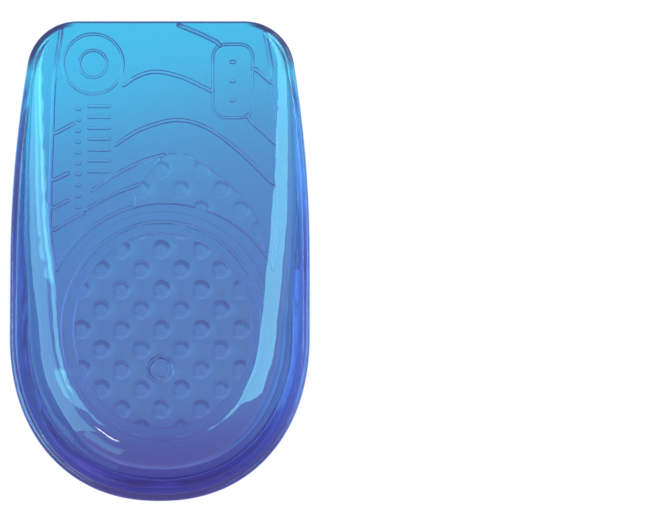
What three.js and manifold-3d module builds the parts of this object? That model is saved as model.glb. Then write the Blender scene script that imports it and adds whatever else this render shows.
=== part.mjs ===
// A soft gel heel cup for the left foot, moulded in one piece, lying on its sole.
// Millimetres. +Y is towards the toes, +Z is up, and the origin is on the ground under the middle.
import * as THREE from 'three';
import { mergeVertices } from 'three/addons/utils/BufferGeometryUtils.js';
import Module from 'manifold-3d';

// The whole cup
const cupLength = 105;
const cupWidth = 65.5;
const heelHeight = 21;

// Plan outline of the rim
const cornerRadius = 11;
const sideBowRadius = 270;
const straightSideLength = 16;
const heelRoundLength = 36.5;
const heelFullness = 2.2;

// Wall and floor
const frontThickness = 1.3;
const heelFloorThickness = 4.6;
const rimThickness = 1.9;
const frontSoleInset = 0.45;
const heelSoleInset = 7.5;
const frontFloorInset = 2.4;
const heelFloorInset = 13.4;
const outerFullness = 2.3;
const innerFullness = 1.7;
const wallStartPower = 1.2;
const wallCrestPower = 1.5;
const insetGrowthPower = 0.78;
const floorTaperShare = 0.62;

// Oval pocket under the heel, and its studs
const heelPadSideMargin = 6.9;
const heelPadBackMargin = 7.8;
const heelPadLength = 43.2;
const heelPadSideShift = 0.4;
const heelPadDepth = 1.2;
const studDiameter = 4.9;
const studPitch = 8.75;
const studRowPitch = 4.38;
const studRowShift = 0.3;
const studShortfall = 0.1;
const gateDiameter = 6.2;
const gateShortfall = 0.5;
const gateRow = -2;

// Three-cornered pocket in front of the heel pad
const frontPadDepth = 0.9;

// Grooves of the sole
const grooveWidth = 1;
const grooveDepth = 0.45;
const grooveDraft = 0.25;
const ringGrooveGap = 2.3;
const archSideGap = 7.5;
const archFrontGap = 6.6;
const archSideShift = 0.7;
const markDepth = 0.3;
const markLineWidth = 0.7;

// Fineness of the faceted body
const frontSteps = 3;
const cornerSteps = 6;
const sideSteps = 6;
const straightSteps = 2;
const heelSteps = 20;
const outerWallSteps = 6;
const rimSteps = 2;
const innerWallSteps = 7;
const floorRings = 3;
const ovalSteps = 56;
const arcSteps = 9;
const borderSteps = 12;
const shortArchSteps = 2;
const boxCornerSteps = 3;
const studSides = 10;
const studRings = 3;
const dotSides = 8;

// How far cutters reach below the sole, and studs into the roof of their pocket
const overshoot = 1;
const studRoot = 0.4;
// A stud may be cut by the edge of its pocket when its centre is at most this far outside
const studOverhang = studDiameter / 4;
const mergeTolerance = 1e-5;

const halfWidth = cupWidth / 2;
const halfLength = cupLength / 2;
const heelCentreY = heelRoundLength - halfLength;
const sideBowY = heelCentreY + straightSideLength;

// Places across are shares of the half width, from the middle. Places along are shares of the
// front zone, from the top of the arch line, 0, to the front edge, 1.
// Columns: name, what the start meets, what the end meets, places from start to end
const arcGrooves = [
  ['front arc', null, 'box', [-0.251, 0.647], [-0.147, 0.7], [-0.022, 0.721], [0.144, 0.69], [0.342, 0.614]],
  ['middle arc', null, 'right border', [-0.304, 0.318], [-0.134, 0.403], [0.091, 0.454], [0.289, 0.419],
    [0.5, 0.3], [0.76, 0.097]],
  ['inner arc', null, null, [-0.461, 0.065], [-0.293, 0.158], [-0.121, 0.228], [0.017, 0.262]],
  ['low arc', null, null, [-0.504, -0.041], [-0.335, 0.038], [-0.153, 0.097]],
  ['front corner line', null, 'box', [0.116, 0.98], [0.27, 0.928], [0.39, 0.879]],
  ['right upper branch', 'right border', 'box', [0.745, 0.655], [0.69, 0.697], [0.629, 0.739]],
  ['right lower branch', 'right border', 'box', [0.77, 0.322], [0.68, 0.391], [0.6, 0.45]],
  ['left branch 1', 'left border', null, [-0.715, 0.379], [-0.66, 0.403], [-0.589, 0.434]],
  ['left branch 2', 'left border', null, [-0.725, 0.121], [-0.681, 0.138], [-0.623, 0.161]],
  ['left branch 3', 'left border', null, [-0.725, -0.033], [-0.682, -0.014], [-0.623, 0.011]],
  ['left branch 4', 'left border', null, [-0.72, -0.155], [-0.63, -0.108], [-0.519, -0.058]],
];
// Each border runs from the front edge back to the arch line
const borderGrooves = {
  'left border': [
    [-0.669, 0.964], [-0.715, 0.671], [-0.73, 0.386], [-0.742, 0.079], [-0.742, -0.184], [-0.7, -0.382],
  ],
  'right border': [
    [0.7, 0.937], [0.755, 0.671], [0.777, 0.386], [0.785, 0.079], [0.785, -0.158], [0.762, -0.368],
  ],
};
const frontPadEdge = {
  apex: [0.131, 0.279],
  rightMiddle: [0.482, 0.086],
  rightEnd: [0.693, -0.145],
  foot: [0.699, -0.224],
  leftFoot: [-0.195, -0.017],
  leftShoulder: [-0.153, 0.097],
  leftCrest: [0.017, 0.266],
};
const ringMark = { centre: [-0.455, 0.764], outerRadius: 6.6, innerRadius: 3 };
const boxMark = { centre: [0.482, 0.67], width: 8.8, length: 16.2, corner: 2.8 };
const barColumn = { centre: [-0.415, 0.351], count: 7, pitch: 2.4, width: 4.4, length: 1 };
const dotColumn = { centre: [-0.555, 0.245], count: 10, pitch: 2.4, radius: 0.65 };
const boxDots = { count: 3, pitch: 4.2, radius: 1.1 };

const wasm = await Module();
wasm.setup();

function fromShare([shareX, shareY]) {
  return new THREE.Vector2(shareX * halfWidth, THREE.MathUtils.lerp(archTopY, halfLength, shareY));
}

function smooth(share) {
  const t = THREE.MathUtils.clamp(share, 0, 1);
  return t * t * (3 - 2 * t);
}

// How far back a place is, from 0 at the front edge to 1 at the back of the heel
function backShare(y) {
  return THREE.MathUtils.clamp((halfLength - y) / cupLength, 0, 1);
}

// How far the wall has risen there, from 0 to 1
function wallRise(y) {
  return 1 - (1 - backShare(y) ** wallStartPower) ** wallCrestPower;
}

function rimHeight(y) {
  return THREE.MathUtils.lerp(frontThickness, heelHeight, wallRise(y));
}

function floorHeight(y) {
  return THREE.MathUtils.lerp(frontThickness, heelFloorThickness, smooth(backShare(y) / floorTaperShare));
}

function soleInset(y) {
  return THREE.MathUtils.lerp(frontSoleInset, heelSoleInset, wallRise(y) ** insetGrowthPower);
}

function floorInset(y) {
  return THREE.MathUtils.lerp(frontFloorInset, heelFloorInset, wallRise(y) ** insetGrowthPower);
}

// Points of the rim outline with their outward directions, from the front middle by +X to the heel
function halfOutline() {
  const points = [];
  const cornerY = halfLength - cornerRadius;
  const reach = sideBowRadius - cornerRadius;
  const tangentAngle = Math.asin((cornerY - sideBowY) / reach);
  const cornerX = halfWidth - sideBowRadius + reach * Math.cos(tangentAngle);
  const add = (x, y, angle) => points.push({ x, y, outX: Math.cos(angle), outY: Math.sin(angle) });
  for (let i = 0; i < frontSteps; i += 1) {
    add((cornerX * i) / frontSteps, halfLength, Math.PI / 2);
  }
  for (let i = 0; i < cornerSteps; i += 1) {
    const angle = THREE.MathUtils.lerp(Math.PI / 2, tangentAngle, i / cornerSteps);
    add(cornerX + cornerRadius * Math.cos(angle), cornerY + cornerRadius * Math.sin(angle), angle);
  }
  for (let i = 0; i < sideSteps; i += 1) {
    const angle = tangentAngle * (1 - i / sideSteps);
    const bow = sideBowRadius * (1 - Math.cos(angle));
    add(halfWidth - bow, sideBowY + sideBowRadius * Math.sin(angle), angle);
  }
  for (let i = 0; i < straightSteps; i += 1) {
    add(halfWidth, sideBowY - (straightSideLength * i) / straightSteps, 0);
  }
  for (let i = 0; i <= heelSteps; i += 1) {
    const turn = (Math.PI / 2) * (i / heelSteps);
    const across = Math.cos(turn) ** (2 / heelFullness);
    const along = Math.sin(turn) ** (2 / heelFullness);
    const slopeX = across ** (heelFullness - 1) / halfWidth;
    const slopeY = along ** (heelFullness - 1) / heelRoundLength;
    add(halfWidth * across, heelCentreY - heelRoundLength * along, -Math.atan2(slopeY, slopeX));
  }
  return points;
}

function rimOutline() {
  const half = halfOutline();
  const otherHalf = half.slice(1, -1).reverse();
  return half.concat(otherHalf.map((p) => ({ ...p, x: -p.x, outX: -p.outX })));
}

// A quarter turn from level at (0, 0) to upright at (1, 1)
function quarterTurn(share, fullness) {
  const angle = (Math.PI / 2) * share;
  return { out: Math.sin(angle) ** (2 / fullness), up: 1 - Math.cos(angle) ** (2 / fullness) };
}

// The wall's section at one place of the outline: how far inside the outline, and how high
function wallSection(y, floorY) {
  const height = rimHeight(y);
  const sole = soleInset(y);
  const floorEdge = floorInset(y);
  const floorTop = floorHeight(floorY);
  const rimOuter = Math.min(rimThickness / 2, height / 2);
  const rimFall = Math.min(rimThickness / 2, (height - floorTop) / 2);
  const section = [];
  for (let i = 0; i <= outerWallSteps; i += 1) {
    const turn = quarterTurn(i / outerWallSteps, outerFullness);
    section.push({ inset: sole * (1 - turn.out), z: (height - rimOuter) * turn.up });
  }
  for (let i = 1; i <= rimSteps; i += 1) {
    const angle = (Math.PI / 2) * (i / rimSteps);
    section.push({ inset: rimOuter * (1 - Math.cos(angle)), z: height - rimOuter * (1 - Math.sin(angle)) });
  }
  for (let i = 1; i <= rimSteps; i += 1) {
    const angle = (Math.PI / 2) * (i / rimSteps);
    const inset = rimOuter + (rimThickness / 2) * Math.sin(angle);
    section.push({ inset, z: height - rimFall * (1 - Math.cos(angle)) });
  }
  const rimInner = rimOuter + rimThickness / 2;
  for (let i = innerWallSteps - 1; i >= 0; i -= 1) {
    const turn = quarterTurn(i / innerWallSteps, innerFullness);
    const inset = floorEdge - (floorEdge - rimInner) * turn.out;
    section.push({ inset, z: floorTop + (height - rimFall - floorTop) * turn.up });
  }
  return section;
}

function insetPoint(rim, inset) {
  return { x: rim.x - rim.outX * inset, y: rim.y - rim.outY * inset };
}

// Closed body of the cup before the relief is cut
function cupBody() {
  const outline = rimOutline();
  const count = outline.length;
  const sections = outline.map((rim) => wallSection(rim.y, insetPoint(rim, floorInset(rim.y)).y));
  const rings = sections[0].map((_, level) => outline.map((rim, i) => {
    const { inset, z } = sections[i][level];
    const { x, y } = insetPoint(rim, inset);
    return [x, y, z];
  }));
  const floorEdge = rings[rings.length - 1];
  for (let k = 1; k <= floorRings; k += 1) {
    const share = 1 - k / (floorRings + 1);
    rings.push(floorEdge.map(([x, y]) => {
      const innerY = heelCentreY + (y - heelCentreY) * share;
      return [x * share, innerY, floorHeight(innerY)];
    }));
  }
  const positions = rings.flat();
  const soleMiddle = positions.push([0, heelCentreY, 0]) - 1;
  const floorMiddle = positions.push([0, heelCentreY, floorHeight(heelCentreY)]) - 1;
  const faces = [];
  for (let i = 0; i < count; i += 1) {
    const next = (i + 1) % count;
    faces.push([soleMiddle, i, next]);
    for (let k = 0; k < rings.length - 1; k += 1) {
      const low = k * count;
      const high = low + count;
      faces.push([low + i, high + i, high + next], [low + i, high + next, low + next]);
    }
    const last = (rings.length - 1) * count;
    faces.push([floorMiddle, last + next, last + i]);
  }
  return solidFromFaces(positions, faces);
}

function solidFromFaces(positions, faces) {
  const mesh = new wasm.Mesh({
    numProp: 3,
    vertProperties: Float32Array.from(positions.flat()),
    triVerts: Uint32Array.from(faces.flat()),
  });
  return new wasm.Manifold(mesh);
}

function solidFromGeometry(geometry) {
  const bare = geometry.clone();
  bare.deleteAttribute('normal');
  bare.deleteAttribute('uv');
  const merged = mergeVertices(bare, mergeTolerance);
  const mesh = new wasm.Mesh({
    numProp: 3,
    vertProperties: Float32Array.from(merged.attributes.position.array),
    triVerts: Uint32Array.from(merged.index.array),
  });
  return new wasm.Manifold(mesh);
}

function solidFromShape(shape, bottom, top) {
  const geometry = new THREE.ExtrudeGeometry(shape, { depth: top - bottom, bevelEnabled: false, steps: 1 });
  geometry.translate(0, 0, bottom);
  return solidFromGeometry(geometry);
}

// A round solid turned on an upright axis; the profile runs from its foot to its crown
function turnedSolid(profile, sides, centre) {
  const geometry = new THREE.LatheGeometry(profile, sides);
  geometry.rotateX(Math.PI / 2);
  geometry.translate(centre.x, centre.y, 0);
  return solidFromGeometry(geometry);
}

// A tapered groove along a path in the sole
function grooveSolid(path, closed, width, depth) {
  const count = path.length;
  const positions = [];
  path.forEach((point, i) => {
    const before = path[closed ? (i - 1 + count) % count : Math.max(i - 1, 0)];
    const after = path[closed ? (i + 1) % count : Math.min(i + 1, count - 1)];
    const along = after.clone().sub(before).normalize();
    const side = new THREE.Vector2(along.y, -along.x);
    const mouth = width / 2 + (overshoot / depth) * grooveDraft * width;
    const roof = width / 2 - grooveDraft * width;
    for (const [offset, z] of [[-mouth, -overshoot], [mouth, -overshoot], [roof, depth], [-roof, depth]]) {
      positions.push([point.x + side.x * offset, point.y + side.y * offset, z]);
    }
  });
  const faces = [];
  const spans = closed ? count : count - 1;
  for (let i = 0; i < spans; i += 1) {
    const here = i * 4;
    const next = ((i + 1) % count) * 4;
    for (let k = 0; k < 4; k += 1) {
      const turn = (k + 1) % 4;
      faces.push([here + k, next + turn, here + turn], [here + k, next + k, next + turn]);
    }
  }
  if (!closed) {
    const last = (count - 1) * 4;
    faces.push([0, 1, 2], [0, 2, 3], [last, last + 2, last + 1], [last, last + 3, last + 2]);
  }
  return solidFromFaces(positions, faces);
}

function onOval(centre, radiusX, radiusY, angle) {
  return new THREE.Vector2(centre.x + radiusX * Math.cos(angle), centre.y + radiusY * Math.sin(angle));
}

// Points of the circle through three points
function arcPath(start, middle, end, steps) {
  const a = middle.clone().sub(start);
  const b = end.clone().sub(start);
  const cross = 2 * (a.x * b.y - a.y * b.x);
  const centre = new THREE.Vector2(
    (b.y * a.lengthSq() - a.y * b.lengthSq()) / cross,
    (a.x * b.lengthSq() - b.x * a.lengthSq()) / cross,
  ).add(start);
  const radius = centre.distanceTo(start);
  const startAngle = Math.atan2(start.y - centre.y, start.x - centre.x);
  const endAngle = Math.atan2(end.y - centre.y, end.x - centre.x);
  let sweep = endAngle - startAngle;
  if (cross > 0 && sweep < 0) sweep += 2 * Math.PI;
  if (cross < 0 && sweep > 0) sweep -= 2 * Math.PI;
  const points = [];
  for (let i = 0; i <= steps; i += 1) {
    const angle = startAngle + (sweep * i) / steps;
    points.push(onOval(centre, radius, radius, angle));
  }
  return points;
}

function ovalPath(centre, radiusX, radiusY, steps) {
  const points = [];
  for (let i = 0; i < steps; i += 1) {
    points.push(onOval(centre, radiusX, radiusY, (2 * Math.PI * i) / steps));
  }
  return points;
}

const heelPad = {
  radiusX: halfWidth - soleInset(heelCentreY) - heelPadSideMargin,
  radiusY: heelPadLength / 2,
  centre: new THREE.Vector2(
    heelPadSideShift,
    heelSoleInset + heelPadBackMargin + heelPadLength / 2 - halfLength,
  ),
};
const archTopY = heelPad.centre.y + heelPad.radiusY + archFrontGap;

// Height of the arch line in front of the heel pad at a place across the cup
function archY(x, narrowing = 0) {
  const across = (x - heelPad.centre.x - archSideShift) / (heelPad.radiusX + archSideGap - narrowing);
  const reach = heelPad.radiusY + archFrontGap - narrowing;
  return heelPad.centre.y + reach * Math.sqrt(Math.max(0, 1 - across * across));
}

function archPath(fromX, toX, steps, narrowing = 0) {
  const points = [];
  for (let i = 0; i <= steps; i += 1) {
    const x = THREE.MathUtils.lerp(fromX, toX, i / steps);
    points.push(new THREE.Vector2(x, archY(x, narrowing)));
  }
  return points;
}

function frontPadOutline() {
  const edge = {};
  for (const [key, share] of Object.entries(frontPadEdge)) edge[key] = fromShare(share);
  const right = arcPath(edge.apex, edge.rightMiddle, edge.rightEnd, arcSteps);
  const bottom = archPath(edge.foot.x, edge.leftFoot.x, arcSteps, grooveWidth / 2);
  return [...right, edge.foot, ...bottom, edge.leftShoulder, edge.leftCrest];
}

function pocketSolid(points, depth) {
  return solidFromShape(new THREE.Shape(points), -overshoot, depth);
}

// A ball's cap hanging from a pocket's roof
function studSolid(centre, diameter, tip, root) {
  const radius = diameter / 2;
  const height = root - tip;
  const ballRadius = (radius * radius + height * height) / (2 * height);
  const profile = [new THREE.Vector2(0, tip)];
  for (let i = 1; i <= studRings; i += 1) {
    const angle = Math.asin(radius / ballRadius) * (i / studRings);
    const fall = ballRadius * (1 - Math.cos(angle));
    profile.push(new THREE.Vector2(ballRadius * Math.sin(angle), tip + fall));
  }
  profile.push(new THREE.Vector2(radius, root + studRoot), new THREE.Vector2(0, root + studRoot));
  return turnedSolid(profile, studSides, centre);
}

function isInside(point, outline) {
  let inside = false;
  outline.forEach((here, i) => {
    const before = outline[(i + outline.length - 1) % outline.length];
    const crosses = here.y > point.y !== before.y > point.y;
    const crossX = ((before.x - here.x) * (point.y - here.y)) / (before.y - here.y) + here.x;
    if (crosses && point.x < crossX) inside = !inside;
  });
  return inside;
}

function growOutline(outline, growth) {
  const middle = outline.reduce((sum, p) => sum.add(p), new THREE.Vector2()).divideScalar(outline.length);
  return outline.map((p) => {
    const out = p.clone().sub(middle);
    return middle.clone().add(out.setLength(out.length() + growth));
  });
}

// Studs of a pocket on the shared lattice, with the gate in the place of one of them
function padStuds(outline, depth) {
  const studs = [];
  const reachable = growOutline(outline, studOverhang);
  const rows = Math.ceil(cupLength / studRowPitch);
  const columns = Math.ceil(cupWidth / studPitch);
  for (let row = -rows; row <= rows; row += 1) {
    for (let column = -columns; column <= columns; column += 1) {
      const shift = row % 2 === 0 ? 0 : 0.5;
      const centre = new THREE.Vector2(
        (column + shift) * studPitch,
        heelPad.centre.y + studRowShift + row * studRowPitch,
      );
      if (!isInside(centre, reachable)) continue;
      const isGate = row === gateRow && column === 0;
      studs.push(isGate
        ? studSolid(centre, gateDiameter, gateShortfall, depth)
        : studSolid(centre, studDiameter, studShortfall, depth));
    }
  }
  return studs;
}

function roundedBoxPath(centre, width, length, corner) {
  const points = [];
  const corners = [[1, 1], [-1, 1], [-1, -1], [1, -1]];
  corners.forEach(([signX, signY], index) => {
    for (let i = 0; i <= boxCornerSteps; i += 1) {
      const angle = (Math.PI / 2) * (index + i / boxCornerSteps);
      const x = centre.x + signX * (width / 2 - corner) + corner * Math.cos(angle);
      const y = centre.y + signY * (length / 2 - corner) + corner * Math.sin(angle);
      points.push(new THREE.Vector2(x, y));
    }
  });
  return points;
}

function dotSolid(centre, radius) {
  return pocketSolid(ovalPath(centre, radius, radius, dotSides), markDepth);
}

// Plain marks: a double ring, an upright box with three dots, a column of bars and a column of dots
function markSolids() {
  const marks = [];
  const ringCentre = fromShare(ringMark.centre);
  for (const radius of [ringMark.outerRadius, ringMark.innerRadius]) {
    const ring = ovalPath(ringCentre, radius, radius, ovalSteps / 2);
    marks.push(grooveSolid(ring, true, markLineWidth, markDepth));
  }
  const boxCentre = fromShare(boxMark.centre);
  marks.push(grooveSolid(boxMarkPath(), true, markLineWidth, markDepth));
  for (let i = 0; i < boxDots.count; i += 1) {
    const y = boxCentre.y + (i - (boxDots.count - 1) / 2) * boxDots.pitch;
    marks.push(dotSolid(new THREE.Vector2(boxCentre.x, y), boxDots.radius));
  }
  const barCentre = fromShare(barColumn.centre);
  for (let i = 0; i < barColumn.count; i += 1) {
    const y = barCentre.y + (i - (barColumn.count - 1) / 2) * barColumn.pitch;
    const ends = [-barColumn.width / 2, barColumn.width / 2];
    const path = ends.map((x) => new THREE.Vector2(barCentre.x + x, y));
    marks.push(grooveSolid(path, false, barColumn.length, markDepth));
  }
  const dotCentre = fromShare(dotColumn.centre);
  for (let i = 0; i < dotColumn.count; i += 1) {
    const y = dotCentre.y + (i - (dotColumn.count - 1) / 2) * dotColumn.pitch;
    marks.push(dotSolid(new THREE.Vector2(dotCentre.x, y), dotColumn.radius));
  }
  return marks;
}

function closestPoint(point, path) {
  let best = path[0];
  for (let i = 1; i < path.length; i += 1) {
    const span = path[i].clone().sub(path[i - 1]);
    const share = point.clone().sub(path[i - 1]).dot(span) / span.lengthSq();
    const candidate = path[i - 1].clone().addScaledVector(span, THREE.MathUtils.clamp(share, 0, 1));
    if (candidate.distanceTo(point) < best.distanceTo(point)) best = candidate;
  }
  return best;
}

// The border ends where it meets the arch groove
function borderPath(name) {
  const points = borderGrooves[name].map(fromShare);
  const last = points.at(-1);
  last.y = archY(last.x);
  return new THREE.SplineCurve(points).getPoints(borderSteps);
}

function boxMarkPath() {
  return roundedBoxPath(fromShare(boxMark.centre), boxMark.width, boxMark.length, boxMark.corner);
}

function grooveSolids() {
  const { centre, radiusX, radiusY } = heelPad;
  const ring = ovalPath(centre, radiusX + ringGrooveGap, radiusY + ringGrooveGap, ovalSteps);
  const borders = Object.fromEntries(Object.keys(borderGrooves).map((name) => [name, borderPath(name)]));
  const box = boxMarkPath();
  const edges = { ...borders, box: [...box, box[0]] };
  const leftEnd = borders['left border'].at(-1).x;
  const rightEnd = borders['right border'].at(-1).x;
  const padLeft = fromShare(frontPadEdge.leftFoot).x;
  const padRight = fromShare(frontPadEdge.foot).x;
  const open = [
    ...Object.values(borders),
    archPath(leftEnd, padLeft, arcSteps),
    archPath(padRight, rightEnd, shortArchSteps),
  ];
  for (const [, startMeets, endMeets, ...places] of arcGrooves) {
    const path = new THREE.SplineCurve(places.map(fromShare)).getPoints(arcSteps);
    if (startMeets) path[0] = closestPoint(path[0], edges[startMeets]);
    if (endMeets) path[path.length - 1] = closestPoint(path.at(-1), edges[endMeets]);
    open.push(path);
  }
  const grooves = open.map((path) => grooveSolid(path, false, grooveWidth, grooveDepth));
  return [grooveSolid(ring, true, grooveWidth, grooveDepth), ...grooves];
}

function meshFromSolid(solid, name, material) {
  const { vertProperties, triVerts } = solid.getMesh();
  const geometry = new THREE.BufferGeometry();
  geometry.setAttribute('position', new THREE.BufferAttribute(vertProperties, 3));
  geometry.setIndex(new THREE.BufferAttribute(triVerts, 1));
  const mesh = new THREE.Mesh(geometry, material);
  mesh.name = name;
  return mesh;
}

function heelCup() {
  const heelPadOutline = ovalPath(heelPad.centre, heelPad.radiusX, heelPad.radiusY, ovalSteps);
  const frontOutline = frontPadOutline();
  let solid = cupBody();
  const cuts = [
    pocketSolid(heelPadOutline, heelPadDepth),
    pocketSolid(frontOutline, frontPadDepth),
    ...grooveSolids(),
    ...markSolids(),
  ];
  for (const cut of cuts) solid = solid.subtract(cut);
  const studs = [...padStuds(heelPadOutline, heelPadDepth), ...padStuds(frontOutline, frontPadDepth)];
  for (const stud of studs) solid = solid.add(stud);
  return solid;
}

const gel = new THREE.MeshStandardMaterial({ color: 0x4fa8e0, roughness: 0.18, metalness: 0 });

const cup = new THREE.Group();
cup.add(meshFromSolid(heelCup(), 'gel_heel_cup', gel));

export default cup;
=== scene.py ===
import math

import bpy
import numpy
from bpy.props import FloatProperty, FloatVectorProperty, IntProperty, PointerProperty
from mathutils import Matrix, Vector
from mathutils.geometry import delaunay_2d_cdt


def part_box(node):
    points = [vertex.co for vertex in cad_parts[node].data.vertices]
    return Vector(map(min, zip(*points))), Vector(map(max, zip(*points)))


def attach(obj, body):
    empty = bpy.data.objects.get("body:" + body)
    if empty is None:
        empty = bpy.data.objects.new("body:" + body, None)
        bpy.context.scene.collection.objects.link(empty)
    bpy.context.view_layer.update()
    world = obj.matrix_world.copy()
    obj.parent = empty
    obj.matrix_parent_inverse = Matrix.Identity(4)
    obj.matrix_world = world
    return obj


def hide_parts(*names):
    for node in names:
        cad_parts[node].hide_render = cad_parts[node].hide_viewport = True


bl_info = {
    "name": "Gel heel cup",
    "version": (1, 0, 0),
    "blender": (4, 5, 0),
    "location": "3D View > Sidebar > Heel cup",
    "description": "Models a moulded gel heel cup, its finish and its studio stage",
    "category": "Add Mesh",
}

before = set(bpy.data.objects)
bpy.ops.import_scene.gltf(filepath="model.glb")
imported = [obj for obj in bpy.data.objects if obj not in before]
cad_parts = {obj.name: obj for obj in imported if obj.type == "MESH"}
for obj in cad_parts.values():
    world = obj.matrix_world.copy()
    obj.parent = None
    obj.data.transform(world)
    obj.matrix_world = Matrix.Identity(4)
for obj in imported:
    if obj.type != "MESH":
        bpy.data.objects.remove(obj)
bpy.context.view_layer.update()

MM = 0.001
NODE = "gel_heel_cup"
LOW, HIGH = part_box(NODE)

# The photograph's frame, and the sole's place and length in it, in pixels
PHOTO_WIDTH, PHOTO_HEIGHT = 650, 515
CUP_CENTRE_PX = (161.0, 260.0)
CUP_LENGTH_PX = 477.4

# Places across are shares of the half width. Places along are shares of the front zone,
# from the top of the arch line, 0, to the front edge, 1.
# Columns: name, what the start meets, what the end meets, places from start to end
ARC_GROOVES = [
    ("front arc", None, "box",
     [(-0.251, 0.647), (-0.147, 0.7), (-0.022, 0.721), (0.144, 0.69), (0.342, 0.614)]),
    ("middle arc", None, "right border",
     [(-0.304, 0.318), (-0.134, 0.403), (0.091, 0.454), (0.289, 0.419), (0.5, 0.3), (0.76, 0.097)]),
    ("inner arc", None, None, [(-0.461, 0.065), (-0.293, 0.158), (-0.121, 0.228), (0.017, 0.262)]),
    ("low arc", None, None, [(-0.504, -0.041), (-0.335, 0.038), (-0.153, 0.097)]),
    ("front corner line", None, "box", [(0.116, 0.98), (0.27, 0.928), (0.39, 0.879)]),
    ("right upper branch", "right border", "box", [(0.745, 0.655), (0.69, 0.697), (0.629, 0.739)]),
    ("right lower branch", "right border", "box", [(0.77, 0.322), (0.68, 0.391), (0.6, 0.45)]),
    ("left branch 1", "left border", None, [(-0.715, 0.379), (-0.66, 0.403), (-0.589, 0.434)]),
    ("left branch 2", "left border", None, [(-0.725, 0.121), (-0.681, 0.138), (-0.623, 0.161)]),
    ("left branch 3", "left border", None, [(-0.725, -0.033), (-0.682, -0.014), (-0.623, 0.011)]),
    ("left branch 4", "left border", None, [(-0.72, -0.155), (-0.63, -0.108), (-0.519, -0.058)]),
]
BORDER_GROOVES = {
    "left border": [
        (-0.669, 0.964), (-0.715, 0.671), (-0.73, 0.386),
        (-0.742, 0.079), (-0.742, -0.184), (-0.7, -0.382),
    ],
    "right border": [
        (0.7, 0.937), (0.755, 0.671), (0.777, 0.386),
        (0.785, 0.079), (0.785, -0.158), (0.762, -0.368),
    ],
}
FRONT_PAD_EDGE = {
    "apex": (0.131, 0.279),
    "right_middle": (0.482, 0.086),
    "right_end": (0.693, -0.145),
    "foot": (0.699, -0.224),
    "left_foot": (-0.195, -0.017),
    "left_shoulder": (-0.153, 0.097),
    "left_crest": (0.017, 0.266),
}
RING_MARK = {"centre": (-0.455, 0.764), "radii": (6.6 * MM, 3 * MM)}
BOX_MARK = {"centre": (0.482, 0.67), "width": 8.8 * MM, "length": 16.2 * MM, "corner": 2.8 * MM}
BAR_COLUMN = {"centre": (-0.415, 0.351), "count": 7, "pitch": 2.4 * MM, "width": 4.4 * MM}
DOT_COLUMN = {"centre": (-0.555, 0.245), "count": 10, "pitch": 2.4 * MM, "width": 0.6 * MM}
BOX_DOTS = {"centre": BOX_MARK["centre"], "count": 3, "pitch": 4.2 * MM, "width": 0.6 * MM}

# Shares of a groove's width, from its middle, where its section is drawn
GROOVE_SECTION = (0.68, 0.56, 0.455, 0.35, 0.245, 0.14)
# Shares of a pocket wall's width, from its edge inwards
POCKET_SECTION = (-0.35, 0.0, 0.25, 0.5, 0.75, 1.0, 1.35)

# Steps up the outside, over each half of the rim and down the inside, and rings across the floor
OUTER_STEPS, RIM_STEPS, INNER_STEPS, FLOOR_RINGS = 26, 8, 34, 22
# The first ring of the wearing side, after those of the outside and of both halves of the rim
WEARING_START = OUTER_STEPS + 1 + 2 * RIM_STEPS
# Points round a groove's end, a box's corner, along the front pad's bottom and the arch line
CAP_POINTS, CORNER_POINTS, PAD_BOTTOM_POINTS, ARCH_POINTS = 5, 9, 40, 200
# How near to the sole's edge a line of the relief is still drawn
EDGE_MARGIN = 0.1 * MM
# Points of the sole that lie nearer than this, in millimetres, are drawn as one
SAME_POINT = 1e-5

# Rings on a stud and on the gate, and how far apart their points are
STUD_RINGS, STUD_SPACING = 9, 0.5 * MM
GATE_RINGS, GATE_SPACING = 24, 0.35 * MM
# Over 1, a stud is flatter on top and steeper at its foot
STUD_POWER = 1.8
# Shares of the gate's radius where its side and its sunken middle start, how wide their slopes are,
# and inside which share its face is torn
GATE_SIDE, GATE_SIDE_WIDTH = 0.84, 0.12
GATE_MIDDLE, GATE_MIDDLE_WIDTH = 0.62, 0.1
GATE_TORN = 0.6
GATE_SINK = 0.5 * MM
# Columns: share of the gate's radius, waves round it, shift
GATE_WOBBLE = [(0.03, 3, 0.6), (0.025, 7, 0.0), (0.015, 17, 0.0)]
# Columns: strength, then two crossed waves, each as radians per mm across and along, and a shift
GATE_TEARS = [(0.1 * MM, (3.1, 1.3, 0.0), (-1.9, 2.3, 0.7))]
RIPPLE_WAVES = [
    (1.0, (0.42, 0.13, 1.1), (-0.11, 0.31, 0.0)),
    (0.6, (0.83, -0.37, 2.0), (0.29, 0.71, 0.0)),
]

# Each fade of the gel's finish is a pair: the value where it starts and the value where it is full
# Where the tints run along the cup, and how far forward they lean towards the right
HEEL_TINT_RUN = (22 * MM, -20 * MM)
FRONT_TINT_RUN = (14 * MM, 52 * MM)
BACK_TINT_RUN = (-26 * MM, -50 * MM)
TINT_SLANT = 0.3
# Height of the roofs of pockets and grooves over the sole, which get painted shade, and where they end in
# front
ROOF_RISE = (0.2 * MM, 1.2 * MM)
ROOF_TOP = (2.2 * MM, 1.9 * MM)
ROOF_FRONT = (24 * MM, 16 * MM)
ROOF_SHARE = 0.22
# Height under which the gel's skin belongs to the sole, for its lines and for its dullness
SOLE_TOP = (1.3 * MM, 1.24 * MM)
DULL_TOP = (1.28 * MM, 1.22 * MM)
# Up-facing share of a steep side, and the sides of the relief that lie in shade and in light
STEEP = (0.97, 0.7)
SHADED_SIDE, SHADED_RUN = (-0.3, -0.9), (0.0, 0.35)
LIT_SIDE, LIT_RUN, LIT_SHARE = (-0.6, 1.0), (0.05, 0.4), 0.5
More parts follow.
